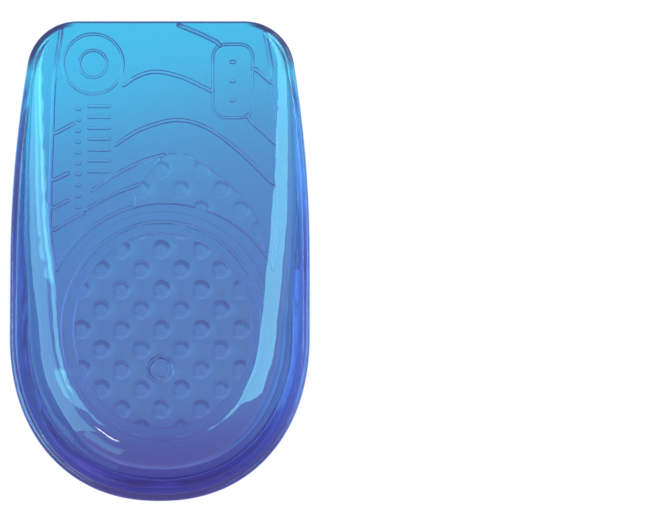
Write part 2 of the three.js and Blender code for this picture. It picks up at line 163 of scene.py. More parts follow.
# Painted shade crescents on the studs' shaded sides, unevenly dark at the heel and even in front of its
# middle
CRESCENT_START = (0.45 * MM, 0.8 * MM)
CRESCENT_LEAST, CRESCENT_PATCHY = 0.2, 0.6
PATCHY_RUN, PATCHY_FRONT = (0.4, 0.56), (0.0, 8 * MM)
# Painted shade on the sides of grooves, which are the lowest relief, and how dark they are away from the
# shade
GROOVE_TOP = (0.62 * MM, 0.5 * MM)
GROOVE_LEAST = 0.3
# The painted shade line of the front edge, and that of its two corners
FRONT_EDGE_TURN = (0.995, 0.9)
FRONT_EDGE_START = (40 * MM, 46 * MM)
CORNER_LINE, CORNER_FADE = 1.4 * MM, 4 * MM
# The painted shade line round the gate, in shares of its radius, and the side on which it is broken
GATE_LINE_IN, GATE_LINE_OUT, GATE_LINE_TEAR = (0.72, 0.8), (1.02, 0.96), 0.2
GATE_LINE_SIDE, GATE_LINE_RUN, GATE_LINE_LEAST = (0.8, -0.6), (0.6, 0.2), 0.1
# Columns: scale, detail, roughness
GATE_NOISE = (900, 2.0, 0.5)
PATCHY_NOISE = (170, 1.0, 0.5)
FLOW_NOISE = (70, 2.0, 0.5)
SKIN_NOISE = (900, 3.0, 0.6)
DULL_NOISE = (160, 3.0, 0.5)
# Columns: strength, height
FLOW_BUMP = (0.5, 0.05 * MM)
SKIN_BUMP = (0.25, 0.004 * MM)

LIGHT_BOUNCES = 24
# The point over the sole that every lamp faces
LAMP_AIM = (0, 0, 0.01)
WHITE = (1.0, 1.0, 1.0)
CYAN = (0.26, 0.97, 1.0)
# Columns: name, place, length and breadth, watts, colour, turn about its own aim in degrees
LAMPS = [
    ("left_panel", (-0.6, -0.01, 0.72), (0.65, 1.05), 20, CYAN, -10),
    ("right_panel", (0.46, -0.16, 1.02), (0.94, 0.25), 6.2, CYAN, -4),
    ("right_strip", (0.2, 0.08, 0.3), (0.07, 0.3), 0.42, CYAN, -7),
    ("right_low_panel", (0.56, 0.12, 0.26), (0.8, 0.44), 4.8, CYAN, 0),
    ("front_window", (0.515, 0.825, 1.0), (0.34, 0.06), 2.0, WHITE, 0),
    ("front_glow", (0.52, 0.96, 0.38), (0.5, 0.3), 1.3, CYAN, 0),
]


def length_setting(name, default, description):
    return FloatProperty(name=name, default=default, unit="LENGTH", description=description)


def colour_setting(name, default, description):
    return FloatVectorProperty(name=name, default=default, subtype="COLOR", size=3, min=0, max=1,
                               description=description)


class CupShape(bpy.types.PropertyGroup):
    """Sizes of the shell of the cup."""

    corner_radius: length_setting("Front corner", 11 * MM, "Radius of the two front corners")
    side_bow: length_setting("Side bow", 270 * MM, "Radius of the bowed sides")
    straight_side: length_setting("Straight side", 16 * MM,
                                  "Length of the straight stretch of each side")
    heel_round: length_setting("Heel round", 36.5 * MM, "Length of the round heel end")
    heel_fullness: FloatProperty(name="Heel fullness", default=2.2,
                                 description="2 is an ellipse, more is squarer")
    front_thickness: length_setting("Front edge", 1.3 * MM, "Thickness of the floor at the front edge")
    heel_floor: length_setting("Heel floor", 4.6 * MM, "Thickness of the floor under the heel")
    rim_thickness: length_setting("Rim", 1.9 * MM, "Thickness of the wall at its rounded top")
    front_sole_inset: length_setting("Front sole inset", 0.45 * MM,
                                     "How far the flat sole stays inside the rim in front")
    heel_sole_inset: length_setting("Heel sole inset", 7.5 * MM,
                                    "How far the flat sole stays inside the rim at the heel")
    front_floor_inset: length_setting("Front floor inset", 2.4 * MM,
                                      "How far the inside floor stays inside the rim in front")
    heel_floor_inset: length_setting("Heel floor inset", 13.4 * MM,
                                     "How far the inside floor stays inside the rim at the heel")
    outer_fullness: FloatProperty(name="Outer fullness", default=2.3,
                                  description="How full the outside of the wall is")
    inner_fullness: FloatProperty(name="Inner fullness", default=1.7,
                                  description="How full the inside of the wall is")
    ripple: length_setting("Ripple", 0.05 * MM, "Height of the slow ripples of the wearing side")
    rounds: IntProperty(name="Points round", default=380, description="Points round the rim, about")


class SoleRelief(bpy.types.PropertyGroup):
    """Sizes of the pockets, studs and grooves of the sole."""

    side_margin: length_setting("Pad side margin", 6.9 * MM, "From the sole's side to the heel pad")
    back_margin: length_setting("Pad back margin", 7.8 * MM, "From the sole's back to the heel pad")
    pad_length: length_setting("Pad length", 43.2 * MM, "Length of the heel pad")
    pad_shift: length_setting("Pad shift", 0.4 * MM, "How far the heel pad sits to the right")
    pad_depth: length_setting("Pad depth", 1.2 * MM, "Depth of the heel pad's pocket")
    front_pad_depth: length_setting("Front pad depth", 0.9 * MM, "Depth of the three-cornered pocket")
    pocket_wall: length_setting("Pocket wall", 0.4 * MM, "Width of a pocket's sloped wall")
    stud_diameter: length_setting("Stud", 4.9 * MM, "Diameter of a stud")
    stud_pitch: length_setting("Stud pitch", 8.75 * MM, "Distance between studs in a row")
    row_pitch: length_setting("Row pitch", 4.38 * MM, "Distance between rows of studs")
    row_shift: length_setting("Row shift", 0.3 * MM,
                              "How far the middle row is in front of the pad's middle")
    stud_gap: length_setting("Stud gap", 0.1 * MM, "How far a stud's tip stays above the sole's plane")
    gate_diameter: length_setting("Gate", 6.2 * MM, "Diameter of the moulding gate")
    gate_gap: length_setting("Gate gap", 0.5 * MM,
                             "How far the gate's face stays above the sole's plane")
    gate_row: IntProperty(name="Gate row", default=-2, description="Row that the gate sits in")
    groove_width: length_setting("Groove", 1 * MM, "Width of a groove at its mouth")
    groove_depth: length_setting("Groove depth", 0.45 * MM, "Depth of a groove")
    ring_gap: length_setting("Ring gap", 2.3 * MM, "From the heel pad to the ring groove")
    edge_seam_inset: length_setting("Edge seam inset", 0.95 * MM,
                                    "From the sole's edge to the fine seam round the heel")
    seam_gap: length_setting("Seam gap", 4.7 * MM, "From the heel pad to the fine seam round it")
    seam_width: length_setting("Seam", 0.4 * MM, "Width of the fine seam")
    seam_depth: length_setting("Seam depth", 0.1 * MM, "Depth of the fine seam")
    arch_side_gap: length_setting("Arch side gap", 7.5 * MM,
                                  "From the heel pad to the arch line at the sides")
    arch_front_gap: length_setting("Arch front gap", 6.6 * MM,
                                   "From the heel pad to the arch line in front")
    arch_shift: length_setting("Arch shift", 0.7 * MM,
                               "How far the arch line sits to the right of the heel pad")
    mark_width: length_setting("Mark line", 0.7 * MM, "Width of the lines of the plain marks")
    mark_depth: length_setting("Mark depth", 0.3 * MM, "Depth of the plain marks")
    edge_fade: length_setting("Edge fade", 0.7 * MM, "Where the relief dies out at the sole's edge")


class GelFinish(bpy.types.PropertyGroup):
    """Colour and surface of the gel."""

    front_tint: colour_setting("Front tint", (0.016, 0.52, 0.645),
                               "What the thin front's skin lets through")
    arch_tint: colour_setting("Arch tint", (0.05, 0.315, 0.455),
                              "What the skin lets through in the middle")
    heel_tint: colour_setting("Heel tint", (0.075, 0.25, 0.39), "What the heel's skin lets through")
    back_tint: colour_setting("Back tint", (0.045, 0.06, 0.24),
                              "What the skin at the back of the heel lets through")
    # Painted shade: the navy laid on steep sides of the relief, along the front edge, on its corners and
    # round the gate
    edge_shade_tint: colour_setting("Edge tint", (0.0, 0.012, 0.09),
                              "What the steep edges of lines and of the front let through")
    # Painted highlight on the lit sides of studs and lines
    highlight_tint: colour_setting("Light side", (0.3, 0.8, 1.0),
                               "What the bright side of studs and lines lets through")
    # Painted shade on the roofs of the relief
    roof_shade_tint: colour_setting("Roof tint", (0.03, 0.0, 0.1), "What the roofs of the relief let through")
    lamp_tint: colour_setting("Lamp tint", (0.8, 0.93, 0.98),
                              "What one skin lets through of the lamps' light")
    # Painted glow: a faint even emission over all the gel, and its strength
    painted_glow_tint: colour_setting("Glow", (0.3, 0.24, 0.75), "Light that the faintly cloudy gel scatters")
    painted_glow_strength: FloatProperty(name="Glow strength", default=0.06,
                        description="Strength of the scattered light")
    depth_tint: colour_setting("Depth tint", (0.5, 0.0, 0.8), "What thick gel lets through")
    density: FloatProperty(name="Density", default=50,
                           description="How fast the gel darkens with its thickness, per metre")
    ior: FloatProperty(name="Bending of light", default=1.43,
                       description="Index of refraction of the gel")
    roughness: FloatProperty(name="Roughness", default=0.04, subtype="FACTOR",
                             description="Roughness of the shiny skin")
    sole_roughness: FloatProperty(name="Sole roughness", default=0.12, subtype="FACTOR",
                                  description="What the duller sole adds to it")


class StudioStage(bpy.types.PropertyGroup):
    """Camera distance, floor and lights."""

    camera_height: length_setting("Camera height", 2.0, "Height of the camera over the floor")
    floor_size: length_setting("Floor", 6.0, "Side of the floor")
    floor_drop: length_setting("Floor drop", 0.25 * MM, "How far the floor lies under the sole")
    floor_colour: colour_setting("Floor colour", (0.95, 0.95, 0.95), "Colour of the floor")
    sky: FloatProperty(name="Sky", default=1.3, description="Strength of the even light from all round")


def smooth(share):
    """A soft step from 0 to 1."""
    share = numpy.clip(share, 0, 1)
    return share * share * (3 - 2 * share)


def mix(low, high, share):
    return low + (high - low) * share


def crossed_waves(places, waves):
    """Uneven low swells at each place."""
    x, y = (places / MM).T

    def wave(across, along, shift):
        return numpy.sin(across * x + along * y + shift)

    return sum(strength * wave(*first) * wave(*second) for strength, first, second in waves)


class CupForm:
    """The measures that the cup's shape and its relief share."""

    WALL_START_POWER = 1.2
    WALL_CREST_POWER = 1.5
    INSET_POWER = 0.78
    FLOOR_TAPER = 0.62

    def __init__(self, shape, relief):
        self.shape = shape
        self.relief = relief
        self.length = HIGH[1] - LOW[1]
        self.height = HIGH[2] - LOW[2]
        self.half_width = (HIGH[0] - LOW[0]) / 2
        self.front = HIGH[1]
        self.back = LOW[1]
        self.heel_y = self.back + shape.heel_round
        self.bow_y = self.heel_y + shape.straight_side
        self.corner_y = self.front - shape.corner_radius
        reach = shape.side_bow - shape.corner_radius
        self.bow_turn = math.asin((self.corner_y - self.bow_y) / reach)
        self.corner_x = self.half_width - shape.side_bow + reach * math.cos(self.bow_turn)
        self.pad_radius_x = self.half_width - self.sole_inset(self.heel_y) - relief.side_margin
        self.pad_radius_y = relief.pad_length / 2
        pad_y = self.back + shape.heel_sole_inset + relief.back_margin + self.pad_radius_y
        self.pad_centre = numpy.array((relief.pad_shift, pad_y))
        self.arch_top = pad_y + self.pad_radius_y + relief.arch_front_gap
        self.gate_centre = (0.0, pad_y + relief.row_shift + relief.gate_row * relief.row_pitch)

    def wall_rise(self, y):
        back_share = numpy.clip((self.front - y) / self.length, 0, 1)
        return 1 - (1 - back_share ** self.WALL_START_POWER) ** self.WALL_CREST_POWER

    def rim_height(self, y):
        return mix(self.shape.front_thickness, self.height, self.wall_rise(y))

    def floor_height(self, y):
        taper = smooth((self.front - y) / self.length / self.FLOOR_TAPER)
        return mix(self.shape.front_thickness, self.shape.heel_floor, taper)

    def sole_inset(self, y):
        grown = self.wall_rise(y) ** self.INSET_POWER
        return mix(self.shape.front_sole_inset, self.shape.heel_sole_inset, grown)

    def floor_inset(self, y):
        grown = self.wall_rise(y) ** self.INSET_POWER
        return mix(self.shape.front_floor_inset, self.shape.heel_floor_inset, grown)

    def place(self, shares):
        across, along = shares
        return numpy.array((across * self.half_width, mix(self.arch_top, self.front, along)))

    def arch_y(self, x, narrowing=0.0):
        radius_x = self.pad_radius_x + self.relief.arch_side_gap - narrowing
        radius_y = self.pad_radius_y + self.relief.arch_front_gap - narrowing
        across = (x - self.pad_centre[0] - self.relief.arch_shift) / radius_x
        return self.pad_centre[1] + radius_y * numpy.sqrt(numpy.maximum(0, 1 - across * across))

    def half_outline(self):
        """Points of the rim outline and their outward directions, front middle to heel middle."""
        shape = self.shape
        quarter = math.pi / 2
        step = self.length * 3 / shape.rounds

        def shares(length):
            return numpy.arange(count := max(2, round(length / step))) / count

        front = shares(self.corner_x) * self.corner_x
        rows = [numpy.stack((front, front * 0 + self.front, front * 0 + quarter), axis=1)]
        turn = mix(quarter, self.bow_turn, shares(shape.corner_radius * quarter))
        rows.append(numpy.stack((self.corner_x + shape.corner_radius * numpy.cos(turn),
                                 self.corner_y + shape.corner_radius * numpy.sin(turn), turn), axis=1))
        turn = self.bow_turn * (1 - shares(shape.side_bow * self.bow_turn))
        rows.append(numpy.stack((self.half_width - shape.side_bow * (1 - numpy.cos(turn)),
                                 self.bow_y + shape.side_bow * numpy.sin(turn), turn), axis=1))
        side = self.bow_y - shape.straight_side * shares(shape.straight_side)
        rows.append(numpy.stack((side * 0 + self.half_width, side, side * 0), axis=1))
        heel_share = numpy.append(shares(quarter * (self.half_width + shape.heel_round) / 2), 1.0)
        power = 2 / shape.heel_fullness
        across = numpy.clip(numpy.cos(heel_share * quarter), 0, 1) ** power
        along = numpy.sin(heel_share * quarter) ** power
        slope_x = across ** (shape.heel_fullness - 1) / self.half_width
        slope_y = along ** (shape.heel_fullness - 1) / shape.heel_round
        rows.append(numpy.stack((self.half_width * across, self.heel_y - shape.heel_round * along,
                                 -numpy.arctan2(slope_y, slope_x)), axis=1))
        rows = numpy.concatenate(rows)
        outward = numpy.stack((numpy.cos(rows[:, 2]), numpy.sin(rows[:, 2])), axis=1)
        return rows[:, :2], outward

    def outline(self):
        points, outward = self.half_outline()
        mirror = numpy.array((-1, 1))
        other = slice(-2, 0, -1)
        return (numpy.concatenate((points, points[other] * mirror)),
                numpy.concatenate((outward, outward[other] * mirror)))


def quarter_turn(share, fullness):
    """A quarter turn from level at (0, 0) to upright at (1, 1)."""
    angle = math.pi / 2 * share
    out = max(0.0, math.sin(angle)) ** (2 / fullness)
    up = 1 - max(0.0, math.cos(angle)) ** (2 / fullness)
    return out, up


def wall_rings(form, points, outward):
    """Insets and heights of the rings from the sole's edge over the rim to the inside floor."""
    shape = form.shape
    y = points[:, 1]
    height = form.rim_height(y)
    sole = form.sole_inset(y)
    floor_edge = form.floor_inset(y)
    floor_top = form.floor_height(y - outward[:, 1] * floor_edge)
    half_rim = shape.rim_thickness / 2
    rim_outer = numpy.minimum(half_rim, height / 2)
    rim_fall = numpy.minimum(half_rim, (height - floor_top) / 2)
    rings = []
    for i in range(OUTER_STEPS + 1):
        out, up = quarter_turn(i / OUTER_STEPS, shape.outer_fullness)
        rings.append((sole * (1 - out), (height - rim_outer) * up))
    for i in range(1, RIM_STEPS + 1):
        angle = math.pi / 2 * i / RIM_STEPS
        rings.append((rim_outer * (1 - math.cos(angle)), height - rim_outer * (1 - math.sin(angle))))
    for i in range(1, RIM_STEPS + 1):
        angle = math.pi / 2 * i / RIM_STEPS
        rings.append((rim_outer + half_rim * math.sin(angle),
                      height - rim_fall * (1 - math.cos(angle))))
    rim_inner = rim_outer + half_rim
    for i in range(INNER_STEPS - 1, -1, -1):
        out, up = quarter_turn(i / INNER_STEPS, shape.inner_fullness)
        rings.append((floor_edge - (floor_edge - rim_inner) * out,
                      floor_top + (height - rim_fall - floor_top) * up))
    return rings


def ripples(places, form):
    """Slow uneven ripples of the wearing side, as a moulded gel skin has."""
    return form.shape.ripple * crossed_waves(places, RIPPLE_WAVES)


def shell_rings(form):
    """Every ring of the shell's points, from the sole's edge over the rim to the floor's middle."""
    points, outward = form.outline()
    rings = []
    for inset, height in wall_rings(form, points, outward):
        flat = points - outward * inset[:, None]
        rings.append(numpy.column_stack((flat, height)))
    floor_edge = rings[-1]
    middle = numpy.array((0.0, form.heel_y))
    for k in range(1, FLOOR_RINGS + 1):
        share = 1 - k / (FLOOR_RINGS + 1)
        flat = middle + (floor_edge[:, :2] - middle) * share
        rings.append(numpy.column_stack((flat, form.floor_height(flat[:, 1]))))
    return rings, middle


def oval(centre, radius_x, radius_y, spacing):
    """Points of an ellipse, about evenly spaced."""
    count = max(12, round(math.pi * (radius_x + radius_y) / spacing))
    angle = numpy.arange(count) * 2 * math.pi / count
    return numpy.stack((centre[0] + radius_x * numpy.cos(angle),
                        centre[1] + radius_y * numpy.sin(angle)), axis=1)


def arc_through(start, middle, end, spacing):
    """Points of the circle through three points."""
    a = middle - start
    b = end - start
    cross = 2 * (a[0] * b[1] - a[1] * b[0])
    centre = start + numpy.array((b[1] * (a @ a) - a[1] * (b @ b),
                                  a[0] * (b @ b) - b[0] * (a @ a))) / cross
    radius = numpy.hypot(*(start - centre))
    first = math.atan2(*(start - centre)[::-1])
    sweep = math.atan2(*(end - centre)[::-1]) - first
    if cross > 0 and sweep < 0:
        sweep += 2 * math.pi
    if cross < 0 and sweep > 0:
        sweep -= 2 * math.pi
    steps = max(2, round(abs(sweep) * radius / spacing))
    angle = first + sweep * numpy.arange(steps + 1) / steps
    return centre + radius * numpy.stack((numpy.cos(angle), numpy.sin(angle)), axis=1)


def smooth_path(points, spacing):
    """A smooth curve through a few points."""
    ends = numpy.concatenate((2 * points[:1] - points[1:2], points, 2 * points[-1:] - points[-2:-1]))
    pieces = []
    for i in range(1, len(ends) - 2):
        before, here, after, beyond = ends[i - 1:i + 3]
        steps = max(2, round(numpy.hypot(*(after - here)) / spacing))
        t = (numpy.arange(steps) / steps)[:, None]
        pieces.append(0.5 * (2 * here + (after - before) * t
                             + (2 * before - 5 * here + 4 * after - beyond) * t ** 2
                             + (3 * here - before - 3 * after + beyond) * t ** 3))
    return numpy.concatenate(pieces + [points[-1:]])


def even_path(points, spacing, closed=False):
    """The same path with evenly spaced points."""
    if closed:
        points = numpy.concatenate((points, points[:1]))
    steps = numpy.hypot(*numpy.diff(points, axis=0).T)
    reach = numpy.concatenate(((0.0,), numpy.cumsum(steps)))
    count = max(2, round(reach[-1] / spacing))
    marks = numpy.linspace(0, reach[-1], count + 1)
    even = numpy.stack([numpy.interp(marks, reach, points[:, k]) for k in (0, 1)], axis=1)
    return even[:-1] if closed else even


def distance_to_path(places, path, closed):
    """Distance from each place to a path."""
    ends = numpy.roll(path, -1, axis=0)
    spans = len(path) if closed else len(path) - 1
    best = numpy.full(len(places), numpy.inf)
    for start, end in zip(path[:spans], ends[:spans]):
        span = end - start
        share = numpy.clip(((places - start) @ span) / (span @ span), 0, 1)
        away = places - start - share[:, None] * span
        best = numpy.minimum(best, numpy.hypot(away[:, 0], away[:, 1]))
    return best


def closest_on_path(place, path):
    """The point of an open path that lies closest to a place."""
    best = path[0]
    for start, end in zip(path[:-1], path[1:]):
        span = end - start
        share = min(max((place - start) @ span / (span @ span), 0), 1)
        candidate = start + span * share
        if numpy.hypot(*(candidate - place)) < numpy.hypot(*(best - place)):
            best = candidate
    return best


def inside_outline(places, outline):
    """True for each place inside a closed outline."""
    inside = numpy.zeros(len(places), dtype=bool)
    for start, end in zip(outline, numpy.roll(outline, -1, axis=0)):
        if start[1] == end[1]:
            continue
        spans = (start[1] > places[:, 1]) != (end[1] > places[:, 1])
        cross = (end[0] - start[0]) * (places[:, 1] - start[1]) / (end[1] - start[1]) + start[0]
        inside ^= spans & (places[:, 0] < cross)
    return inside


def path_sides(path, closed):
    """The direction to the right of a path at each of its points."""
    if closed:
        along = numpy.roll(path, -1, axis=0) - numpy.roll(path, 1, axis=0)
    else:
        along = numpy.gradient(path, axis=0)
    along = along / numpy.hypot(along[:, 0], along[:, 1])[:, None]
    return numpy.stack((along[:, 1], -along[:, 0]), axis=1)


def groove_contours(path, closed, width):
    """Closed lines that follow a groove's section at several distances from its middle."""
    sides = path_sides(path, closed)
    loops = []
    for share in GROOVE_SECTION:
        reach = share * width
        if closed:
            loops += [path + sides * reach, path - sides * reach]
            continue
        caps = []
        for end, side, sign in ((path[-1], sides[-1], 1), (path[0], sides[0], -1)):
            ahead = sign * numpy.array((-side[1], side[0]))
            turns = numpy.linspace(0, math.pi, CAP_POINTS + 2)[1:-1]
            caps.append(numpy.array([end + reach * (sign * side * math.cos(t) + ahead * math.sin(t))
                                     for t in turns]))
        loops.append(numpy.concatenate((path + sides * reach, caps[0], (path - sides * reach)[::-1],
                                        caps[1])))
    return loops


class Relief:
    """The pockets, studs and grooves of the sole as contours to draw and a height to read."""

    SPACING = 0.55 * MM

    def __init__(self, form, sole_edge):
        self.form = form
        self.sole_edge = sole_edge
        self.grooves = []
        self.pockets = []
        self.studs = []
        self.loops = []
        self.add_pads()
        self.add_rings()
        self.add_net()
        self.add_marks()

    def add_groove(self, path, closed, width, depth):
        self.grooves.append((path, closed, width, depth))
        self.loops += groove_contours(path, closed, width)

    def add_pocket(self, outline, depth):
        outline = even_path(outline, self.SPACING, closed=True)
        wall = self.form.relief.pocket_wall
        self.pockets.append((outline, depth))
        sides = path_sides(outline, True)
        inward = 1 if inside_outline(outline[:1] + sides[:1] * wall, outline)[0] else -1
        for share in POCKET_SECTION:
            self.loops.append(outline + inward * sides * wall * share)
        self.add_studs(outline, depth)

    def add_studs(self, outline, depth):
        """Studs in rows, where their middles lie in the outline grown by half their radius."""
        relief = self.form.relief
        middle = outline.mean(axis=0)
        out = outline - middle
        reach = numpy.hypot(out[:, 0], out[:, 1])[:, None]
        grown = middle + out * (1 + relief.stud_diameter / 4 / reach)
        rows = math.ceil(self.form.length / relief.row_pitch)
        columns = math.ceil(2 * self.form.half_width / relief.stud_pitch)
        middle_row = self.form.pad_centre[1] + relief.row_shift
        for row in range(-rows, rows + 1):
            shift = 0.5 if row % 2 else 0
            for column in range(-columns, columns + 1):
                centre = numpy.array(((column + shift) * relief.stud_pitch,
                                      middle_row + row * relief.row_pitch))
                if not inside_outline(centre[None], grown)[0]:
                    continue
                is_gate = row == relief.gate_row and column == 0
                self.add_stud(centre, depth, is_gate)

    def add_stud(self, centre, depth, is_gate):
        relief = self.form.relief
        radius = (relief.gate_diameter if is_gate else relief.stud_diameter) / 2
        tip = relief.gate_gap if is_gate else relief.stud_gap
        self.studs.append((centre, radius, tip, depth, is_gate))
        rings, spacing = (GATE_RINGS, GATE_SPACING) if is_gate else (STUD_RINGS, STUD_SPACING)
        for i in range(1, rings + 1):
            reach = radius * i / rings
            self.loops.append(oval(centre, reach, reach, spacing))

    def front_pad_outline(self):
        form = self.form
        edge = {name: form.place(shares) for name, shares in FRONT_PAD_EDGE.items()}
        right = arc_through(edge["apex"], edge["right_middle"], edge["right_end"], self.SPACING)
        across = numpy.linspace(edge["foot"][0], edge["left_foot"][0], PAD_BOTTOM_POINTS)
        bottom = numpy.stack((across, form.arch_y(across, form.relief.groove_width / 2)), axis=1)
        left = [edge["left_shoulder"], edge["left_crest"]]
        return numpy.concatenate((right, [edge["foot"]], bottom, left))

    def add_pads(self):
        form = self.form
        pad = oval(form.pad_centre, form.pad_radius_x, form.pad_radius_y, self.SPACING)
        self.add_pocket(pad, form.relief.pad_depth)
        self.add_pocket(self.front_pad_outline(), form.relief.front_pad_depth)

    def arch_path(self, from_x, to_x):
        across = numpy.linspace(from_x, to_x, ARCH_POINTS)
        path = numpy.stack((across, self.form.arch_y(across)), axis=1)
        return even_path(path, self.SPACING)

    def box_path(self):
        centre = self.form.place(BOX_MARK["centre"])
        corner = BOX_MARK["corner"]
        quarter = numpy.linspace(0, math.pi / 2, CORNER_POINTS)
        points = []
        for index, (sign_x, sign_y) in enumerate(((1, 1), (-1, 1), (-1, -1), (1, -1))):
            angle = quarter + index * math.pi / 2
            middle_x = centre[0] + sign_x * (BOX_MARK["width"] / 2 - corner)
            middle_y = centre[1] + sign_y * (BOX_MARK["length"] / 2 - corner)
            points.append(numpy.stack((middle_x + corner * numpy.cos(angle),
                                       middle_y + corner * numpy.sin(angle)), axis=1))
        return even_path(numpy.concatenate(points), self.SPACING, closed=True)

    def heel_seam(self):
        """A line just inside the edge of the sole, round the heel alone."""
        _, outward = self.form.outline()
        path = self.sole_edge - outward * self.form.relief.edge_seam_inset
        return even_path(path[path[:, 1] < self.form.bow_y], self.SPACING)

    def add_rings(self):
        """The groove and the fine seam round the heel pad, and the seam at the sole's edge."""
        form = self.form
        relief = form.relief
        for gap, width, depth in ((relief.ring_gap, relief.groove_width, relief.groove_depth),
                                  (relief.seam_gap, relief.seam_width, relief.seam_depth)):
            ring = oval(form.pad_centre, form.pad_radius_x + gap, form.pad_radius_y + gap, self.SPACING)
            self.add_groove(ring, True, width, depth)
        self.add_groove(self.heel_seam(), False, relief.seam_width, relief.seam_depth)

    def path_through(self, shares):
        return smooth_path(numpy.array([self.form.place(pair) for pair in shares]), self.SPACING)

    def border_path(self, shares):
        """A border groove, which ends on the arch line."""
        points = numpy.array([self.form.place(pair) for pair in shares])
        points[-1, 1] = self.form.arch_y(points[-1, 0])
        return smooth_path(points, self.SPACING)

    def add_net(self):
        """The border grooves, the arch line on both sides of the front pad, the branches and the arcs."""
        relief = self.form.relief
        lines = {name: self.border_path(shares) for name, shares in BORDER_GROOVES.items()}
        paths = list(lines.values())
        box = self.box_path()
        lines["box"] = numpy.concatenate((box, box[:1]))
        pad_left = self.form.place(FRONT_PAD_EDGE["left_foot"])[0]
        pad_right = self.form.place(FRONT_PAD_EDGE["foot"])[0]
        paths.append(self.arch_path(lines["left border"][-1, 0], pad_left))
        paths.append(self.arch_path(pad_right, lines["right border"][-1, 0]))
        for _, start_meets, end_meets, shares in ARC_GROOVES:
            path = self.path_through(shares)
            if start_meets:
                path[0] = closest_on_path(path[0], lines[start_meets])
            if end_meets:
                path[-1] = closest_on_path(path[-1], lines[end_meets])
            paths.append(path)
        for path in paths:
            self.add_groove(path, False, relief.groove_width, relief.groove_depth)

    def add_marks(self):
        """The ring in a ring, the box, and the columns of dots and bars."""
        relief = self.form.relief
        centre = self.form.place(RING_MARK["centre"])
        for radius in RING_MARK["radii"]:
            self.add_groove(oval(centre, radius, radius, self.SPACING), True, relief.mark_width,
                            relief.mark_depth)
        self.add_groove(self.box_path(), True, relief.mark_width, relief.mark_depth)
        for column in (BOX_DOTS, DOT_COLUMN, BAR_COLUMN):
            centre = self.form.place(column["centre"])
            half = numpy.array((column["width"] / 2, 0.0))
            for i in range(column["count"]):
                spot = centre + (0.0, (i - (column["count"] - 1) / 2) * column["pitch"])
                path = even_path(numpy.array((spot - half, spot + half)), self.SPACING)
                self.add_groove(path, False, relief.groove_width, relief.mark_depth)

    def groove_height(self, places):
        """How far each place lies up in a groove."""
        height = numpy.zeros(len(places))
        _, mouth_share, *_, roof_share = GROOVE_SECTION
        for path, closed, width, depth in self.grooves:
            near = self.near(places, path, width)
            away = distance_to_path(places[near], path, closed)
            fall = smooth((away / width - roof_share) / (mouth_share - roof_share))
            height[near] = numpy.maximum(height[near], depth * (1 - fall))
        return height

    def near(self, places, path, reach):
        """True for each place in the box round a path, grown by a reach."""
        low = path.min(axis=0) - reach
        high = path.max(axis=0) + reach
        return numpy.all((places > low) & (places < high), axis=1)

    def pocket_height(self, places):
        """How far each place lies up in a pocket."""
        height = numpy.zeros(len(places))
        wall = self.form.relief.pocket_wall
        for outline, depth in self.pockets:
            near = self.near(places, outline, wall)
            inside = inside_outline(places[near], outline)
            away = distance_to_path(places[near], outline, True)
            height[near] = numpy.maximum(height[near], depth * smooth(away / wall) * inside)
        return height

    def stud_height(self, places, height):
        """The same heights, brought down where a stud or the gate stands."""
        for centre, radius, tip, depth, is_gate in self.studs:
            away = numpy.hypot(*(places - centre).T) / radius
            under = away < 1
            if is_gate:
                dome = self.gate_face(places[under] - centre, away[under], depth)
            else:
                dome = mix(tip, depth, smooth(away[under] ** STUD_POWER))
            height[under] = numpy.minimum(height[under], dome)
        return height

    def gate_face(self, from_centre, away, depth):
        """The torn face of the moulding gate: a disc with a rough rim and a sunken rough middle."""
        tip = self.form.relief.gate_gap
        angle = numpy.arctan2(from_centre[:, 1], from_centre[:, 0])
        wobble = sum(share * numpy.sin(waves * angle + shift) for share, waves, shift in GATE_WOBBLE)
        reach = away + wobble
        side = mix(tip, depth, smooth((reach - GATE_SIDE) / GATE_SIDE_WIDTH))
        sunk = GATE_SINK * smooth((GATE_MIDDLE - reach) / GATE_MIDDLE_WIDTH)
        torn = crossed_waves(from_centre, GATE_TEARS) * (reach < GATE_TORN)
        return numpy.minimum(side + sunk + torn, depth)

    def height(self, places):
        """Height of the sole at each place, which falls to its plane at the edge."""
        height = self.stud_height(places, self.pocket_height(places))
        height = numpy.maximum(height, self.groove_height(places))
        from_edge = distance_to_path(places, self.sole_edge, True)
        return height * smooth(from_edge / self.form.relief.edge_fade)


def closed_pairs(ids):
    """Each number with the one after it, and the last with the first."""
    return numpy.stack((ids, numpy.roll(ids, -1)), axis=1)


def sole_triangles(form, sole_edge):
    """Points and triangles of the sole, drawn along every line of its relief."""
    relief = Relief(form, sole_edge)
    places = [sole_edge]
    edges = [closed_pairs(numpy.arange(len(sole_edge)))]
    count = len(sole_edge)
    for loop in relief.loops:
        kept = inside_outline(loop, sole_edge) & (distance_to_path(loop, sole_edge, True) > EDGE_MARGIN)
        ids = numpy.where(kept, numpy.cumsum(kept) - 1 + count, -1)
        pairs = closed_pairs(ids)
        places.append(loop[kept])
        edges.append(pairs[(pairs >= 0).all(axis=1)])
        count += int(kept.sum())
    places.append(numpy.array([stud[0] for stud in relief.studs]))
    flat = [Vector(pair) for pair in numpy.concatenate(places) / MM]
    drawing = delaunay_2d_cdt(flat, numpy.concatenate(edges).tolist(), [], 0, SAME_POINT, True)
    drawn, _, triangles, origins = drawing[:4]
    points = numpy.array([tuple(point) for point in drawn]) * MM
    height = relief.height(points)
    edge_ids = {}
    for i, ids in enumerate(origins):
        for original in ids:
            if original < len(sole_edge):
                edge_ids[i] = original
                height[i] = 0.0
    return numpy.column_stack((points, height)), triangles, edge_ids


def shell_faces(ring_count, around):
    """Faces between every ring and the next, and from the last ring to the point after all of them."""
    faces = []
    for k in range(ring_count - 1):
        low = k * around
        for i in range(around):
            after = (i + 1) % around
            faces.append((low + i, low + around + i, low + around + after, low + after))
    last = (ring_count - 1) * around
    middle = ring_count * around
    for i in range(around):
        faces.append((middle, last + (i + 1) % around, last + i))
    return faces


